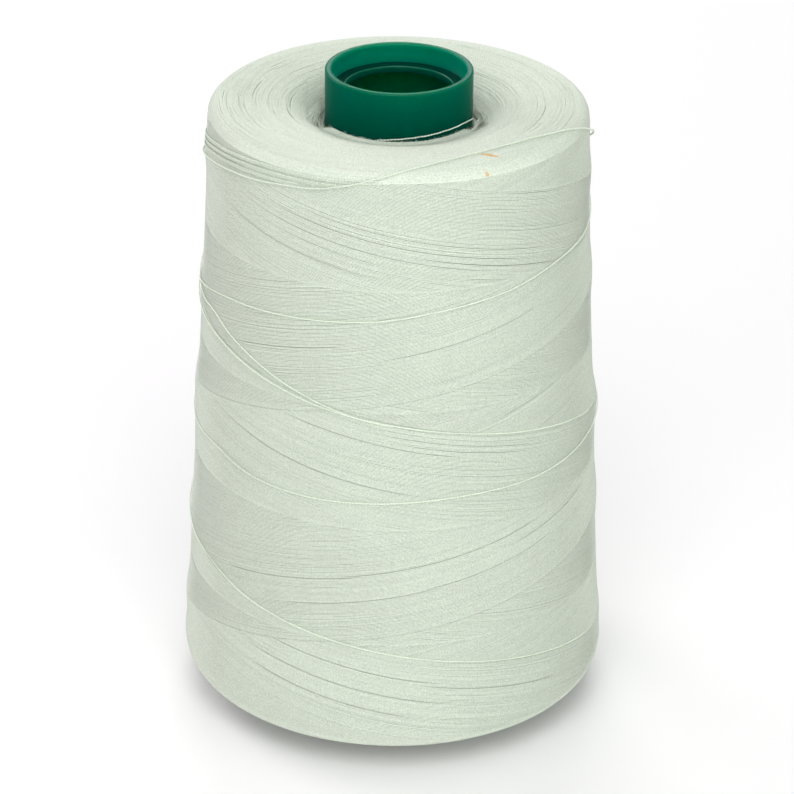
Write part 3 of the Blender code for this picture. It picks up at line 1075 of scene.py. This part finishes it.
def add_face_arcs(strands, random, first_run, last_run, spacing):
    """Turns of the face, laid as arcs that come up, drift a little and go under again."""
    winding = bpy.context.scene.cone_winding
    section = laid_section(winding.thread_width, winding.thread_proud * 1.1)
    step = math.degrees(winding.turn_step)
    for run in np.arange(first_run, last_run, spacing):
        start, laid = random.uniform(0.0, 360.0), 0.0
        while laid < 360.0:
            span = min(random.uniform(*ARC_SPANS), 360.0 + ARC_OVERLAPS[1] - laid)
            turn = np.linspace(start, start + span, max(int(span / step), 4))
            turn = np.sort(np.append(turn, (start + ARC_ENDS, start + span - ARC_ENDS)))
            share = (turn - start) / span
            drift = random.normal(0.0, 0.05 * MM) * (share - 0.5) * 2
            place = run + drift + uneven(random, turn, 0.05 * MM) + random.normal(0.0, 0.035 * MM)
            place = np.clip(place, 0.05 * MM, OUTLINE.length - 0.05 * MM)
            ends = ease(np.minimum(turn - start, start + span - turn) / ARC_ENDS)
            lift = -ARC_SINK + (ARC_SINK + random.uniform(-0.07, 0.03) * MM) * ends
            line, away = on_winding(turn, place, lift)
            strands.add(section, line, away, strand_tone(random), phase=random.uniform(0.0, 1.0))
            shown = span - random.uniform(*ARC_OVERLAPS)
            start += shown
            laid += shown


def add_groove_spans(strands, random):
    """Turns that span the hollow beside the tube as straight chords, clear of its wall."""
    for middle, count in HOLLOW_SPANS:
        for _ in range(count):
            half = random.uniform(16.0, 31.0)
            radius = (COLLAR_RADIUS + random.uniform(0.7, 1.8) * MM) / math.cos(math.radians(half))
            centre = middle + random.uniform(-22.0, 22.0)
            ends = np.array((centre - half, centre + half))
            runs = OUTLINE.run_at_radius(np.array((radius, radius + random.uniform(0.0, 1.2) * MM)))
            (first, last), (up_first, up_last) = on_winding(ends, runs, 0.1 * MM)
            share = np.linspace(-0.1, 1.1, 22)[:, None]
            line = first + (last - first) * share
            sag = ease(np.abs(share - 0.5) * 2 - 1.0) * 4.0 + 0.05 * np.sin(share * 9.0)
            line[:, 2:] -= sag * MM
            away = unit(up_first + (up_last - up_first) * share)
            add_twisted(strands, line, away, ply_radius=0.085 * MM, lay_radius=0.075 * MM,
                        turns_per_metre=700.0, tone=random.uniform(0.94, 1.06), step=0.3 * MM)


def build_face_turns(finish):
    winding = bpy.context.scene.cone_winding
    random = np.random.default_rng(winding.seed + 20)
    strands = Strands()
    add_face_arcs(strands, random, 0.15 * MM, SHOULDER_RUN - LEAD * 0.016, FACE_SPACING)
    add_face_arcs(strands, random, BASE_RUN + 5.2 * MM, OUTLINE.length, UNDERSIDE_SPACING)
    return strands.build("end_turns", finish)


def tucked(turn, lift, reach):
    """Lift along a single turn, whose two ends are tucked under over a reach in degrees."""
    ends = ease(np.minimum(turn - turn[0], turn[-1] - turn) / reach)
    return lift * ends - TUCK * (1.0 - ends)


def build_slack_turns(finish):
    """The single turns that lie slack over the others, painted lighter for the light they catch."""
    strands = Strands()
    for rows in SLACK_TURNS.values():
        turn, height = smooth_rows(in_metres(rows))
        line, away = on_winding(turn, OUTLINE.run_at(height), tucked(turn, SLACK_LIFT, 6.0))
        # tone 1.2 is painted light: the slack turns are made lighter than the thread
        add_twisted(strands, line, away, ply_radius=0.115 * MM, lay_radius=0.095 * MM,
                    turns_per_metre=640.0, tone=1.2, step=0.2 * MM)
    return strands.build("slack_turns", finish)


def build_slipped_turns(finish):
    """Layers that slipped on the shoulder, the thread held off by the tube, and the spans."""
    random = np.random.default_rng(bpy.context.scene.cone_winding.seed + 30)
    strands = Strands()
    for layer in range(SLIPPED_LAYERS):
        for turn_in_layer in range(SLIPPED_TURNS):
            last = len(SLIPPED_EDGE) - layer
            turn, run = smooth_rows(in_metres(SLIPPED_EDGE[:last]))
            run = run + layer * SLIPPED_SPACING + turn_in_layer * SLIPPED_TURN_SPACING
            run = run + uneven(random, turn, 0.06 * MM)
            lift = tucked(turn, SLIPPED_LIFT - SLIPPED_LIFT_STEP * turn_in_layer, 10.0)
            line, away = on_winding(turn, run, lift)
            # These tones differ a little for each turn and are all above one: partly random tone,
            # partly painted light
            add_twisted(strands, line, away, ply_radius=0.10 * MM, lay_radius=0.085 * MM,
                        turns_per_metre=640.0, tone=random.uniform(1.05, 1.15), step=0.2 * MM)
    turn, drop = smooth_rows(in_metres(HELD_TURN))
    angle = np.radians(turn)
    radius = COLLAR_RADIUS + 0.30 * MM
    height = CROWN_HEIGHT + drop + uneven(random, turn * 3.0, 0.08 * MM)
    line = np.stack((radius * np.cos(angle), radius * np.sin(angle), height), axis=-1)
    away = np.stack((np.cos(angle), np.sin(angle), np.full(len(angle), 0.5)), axis=-1)
    # tone 1.2 is painted light on the held turn
    add_twisted(strands, line, unit(away), ply_radius=0.10 * MM, lay_radius=0.09 * MM,
                turns_per_metre=600.0, tone=1.2, step=0.2 * MM)
    add_groove_spans(strands, random)
    return strands.build("slipped_turns", finish)


def build_loose_turn(finish):
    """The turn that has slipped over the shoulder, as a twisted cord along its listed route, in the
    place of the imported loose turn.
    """
    turn, run, lift = smooth_rows(LOOSE_ROUTE)
    line, away = on_winding(turn, run, CLEARANCE + LOOSE_RADIUS + lift)
    strands = Strands()
    add_twisted(strands, line, away, ply_radius=LOOSE_RADIUS * 0.54,
                lay_radius=LOOSE_RADIUS * 0.46, turns_per_metre=620.0, tone=1.06, step=0.16 * MM)
    piece = strands.build("loose_thread", finish, "loose_turn")
    return piece


def build_fibres(finish):
    """Loose fibres that stand off the thread, thickest round the foot of the nose."""
    winding = bpy.context.scene.cone_winding
    random = np.random.default_rng(winding.seed + 40)
    strands = Strands()
    section = round_section(FIBRE_RADIUS, 3)
    for number in range(winding.fibres):
        by_tube = number % FIBRES_FOR_ONE_BY_TUBE == 0
        turn = random.uniform(0.0, 360.0)
        run = random.uniform(0.0, 1.2 * MM) if by_tube else random.uniform(0.0, BASE_RUN + 6.0 * MM)
        reach = random.uniform(0.2, 0.9) * MM
        start, away = on_winding(turn, run, 0.0)
        around = np.array((-math.sin(math.radians(turn)), math.cos(math.radians(turn)), 0.0))
        lean = unit(around * random.choice((-1.0, 1.0)) + np.cross(away, around)
                    * random.normal(0.0, 0.7))
        share = np.linspace(0.0, 1.0, FIBRE_POINTS)[:, None]
        curl = np.sin(share * random.uniform(1.5, 4.0))
        line = start + lean * share * reach * 1.6 + away * curl * reach * random.uniform(0.3, 0.9)
        line = line + np.cross(away, lean) * (share * share * random.normal(0.0, 0.4) * reach)
        sizes = np.linspace(1.0, 0.5, FIBRE_POINTS) * (0.62 if by_tube else 1.0)
        strands.add(section, line, np.tile(away, (FIBRE_POINTS, 1)), 1.1, sizes)
    return strands.build("loose_fibres", finish)


# Stage


def soft_light(name, place, target, width, power, colour):
    data = bpy.data.lights.new(name, "AREA")
    data.size = width
    data.energy = power
    data.color = colour
    light = bpy.data.objects.new(name, data)
    light.location = place
    light.rotation_euler = (Vector(target) - Vector(place)).to_track_quat("-Z", "Y").to_euler()
    bpy.context.scene.collection.objects.link(light)


def build_stage():
    scene = bpy.context.scene
    studio = scene.cone_studio
    bpy.ops.mesh.primitive_plane_add(size=6.0, location=(0.0, 0.0, -0.0001))
    floor = bpy.context.object
    floor.name = "pale_floor"
    floor.data.materials.append(floor_material())
    for name, place, width, power, colour in LIGHTS:
        soft_light(name, place, (0.0, 0.0, TUBE_HEIGHT / 2), width, power * studio.light, colour)
    world = bpy.data.worlds.new("even_room")
    world.use_nodes = True
    world.node_tree.nodes["Background"].inputs["Color"].default_value = (1.0, 1.0, 1.0, 1.0)
    world.node_tree.nodes["Background"].inputs["Strength"].default_value = studio.room
    scene.world = world
    scene.view_settings.view_transform = "Standard"
    data = bpy.data.cameras.new("camera")
    data.lens = CAMERA_LENS_MM
    data.shift_x, data.shift_y = CAMERA_SHIFT
    data.clip_start, data.clip_end = 0.05, 20.0
    camera = bpy.data.objects.new("camera", data)
    aim = (CAMERA_TARGET - CAMERA_PLACE).to_track_quat("-Z", "Y").to_matrix().to_4x4()
    roll = Matrix.Rotation(CAMERA_ROLL, 4, "Z")
    camera.matrix_world = Matrix.Translation(CAMERA_PLACE) @ aim @ roll
    scene.collection.objects.link(camera)
    scene.camera = camera


# Operators, one for each piece or group of like pieces


class CONE_OT_build_stage(bpy.types.Operator):
    """Add the floor, the lights and the camera"""

    bl_idname = "cone.build_stage"
    bl_label = "Build Stage"

    def execute(self, context):
        build_stage()
        return {"FINISHED"}


class CONE_OT_build_loose_turn(bpy.types.Operator):
    """Add the turn of thread that lies loose over the top"""

    bl_idname = "cone.build_loose_turn"
    bl_label = "Build Loose Turn"

    def execute(self, context):
        build_loose_turn(thread_material("thread_loose", 1.05, plies_show=False))
        return {"FINISHED"}


class CONE_OT_build_tube(bpy.types.Operator):
    """Add the moulded tube in the place of its solid"""

    bl_idname = "cone.build_tube"
    bl_label = "Build Tube"

    def execute(self, context):
        piece = turned_piece("moulded_tube", tube_section(), TUBE_STEPS, plastic_material())
        placed(piece, "tube")
        return {"FINISHED"}


class CONE_OT_build_body(bpy.types.Operator):
    """Add the body of thread under the turns that show"""

    bl_idname = "cone.build_body"
    bl_label = "Build Thread Body"

    def execute(self, context):
        build_depth(painted_shade_body_material())
        return {"FINISHED"}


class CONE_OT_build_side_turns(bpy.types.Operator):
    """Add the rising and the falling turns of the side"""

    bl_idname = "cone.build_side_turns"
    bl_label = "Build Side Turns"

    def execute(self, context):
        finish = thread_material("thread_side")
        build_side_turns(RISING, "rising_turns", finish)
        build_side_turns(FALLING, "falling_turns", finish)
        return {"FINISHED"}


class CONE_OT_build_end_turns(bpy.types.Operator):
    """Add the turns of the top face and of the underside"""

    bl_idname = "cone.build_end_turns"
    bl_label = "Build End Turns"

    def execute(self, context):
        build_face_turns(thread_material("thread_end", stains=True, roughness=0.45))
        return {"FINISHED"}


class CONE_OT_build_slack_turns(bpy.types.Operator):
    """Add the slack turns, the slipped layers and the turns that span the hollow"""

    bl_idname = "cone.build_slack_turns"
    bl_label = "Build Slack Turns"

    def execute(self, context):
        # This copy of the thread is made 5% lighter: painted light on the turns that stand off the
        # winding
        finish = thread_material("thread_slack_painted_light", 1.05, plies_show=False, stains=True)
        build_slack_turns(finish)
        build_slipped_turns(finish)
        return {"FINISHED"}


class CONE_OT_build_fibres(bpy.types.Operator):
    """Add the loose fibres that stand off the thread"""

    bl_idname = "cone.build_fibres"
    bl_label = "Build Loose Fibres"

    def execute(self, context):
        build_fibres(thread_material("thread_fibre", 1.15, plies_show=False))
        return {"FINISHED"}


OPERATORS = (
    CONE_OT_build_stage,
    CONE_OT_build_loose_turn,
    CONE_OT_build_tube,
    CONE_OT_build_body,
    CONE_OT_build_side_turns,
    CONE_OT_build_end_turns,
    CONE_OT_build_slack_turns,
    CONE_OT_build_fibres,
)


class CONE_PT_panel(bpy.types.Panel):
    """Lists the settings and the steps that build the cone of thread"""

    bl_idname = "CONE_PT_panel"
    bl_label = "Cone of Thread"
    bl_space_type = "VIEW_3D"
    bl_region_type = "UI"
    bl_category = "Thread"

    def draw(self, context):
        scene = context.scene
        for settings in (scene.cone_winding, scene.cone_finish, scene.cone_studio):
            box = self.layout.box()
            for name in settings.__annotations__:
                box.prop(settings, name)
        for operator in OPERATORS:
            self.layout.operator(operator.bl_idname)


SETTINGS = {
    "cone_winding": WindingSettings,
    "cone_finish": FinishSettings,
    "cone_studio": StudioSettings,
}


def register():
    for settings in SETTINGS.values():
        bpy.utils.register_class(settings)
    for name, settings in SETTINGS.items():
        setattr(bpy.types.Scene, name, PointerProperty(type=settings))
    for operator in OPERATORS:
        bpy.utils.register_class(operator)
    bpy.utils.register_class(CONE_PT_panel)


def unregister():
    bpy.utils.unregister_class(CONE_PT_panel)
    for operator in reversed(OPERATORS):
        bpy.utils.unregister_class(operator)
    for name in SETTINGS:
        delattr(bpy.types.Scene, name)
    for settings in reversed(SETTINGS.values()):
        bpy.utils.unregister_class(settings)


def main():
    register()
    bpy.ops.cone.build_stage()
    bpy.ops.cone.build_loose_turn()
    bpy.ops.cone.build_tube()
    bpy.ops.cone.build_body()
    bpy.ops.cone.build_side_turns()
    bpy.ops.cone.build_end_turns()
    bpy.ops.cone.build_slack_turns()
    bpy.ops.cone.build_fibres()


if __name__ == "__main__":
    main()
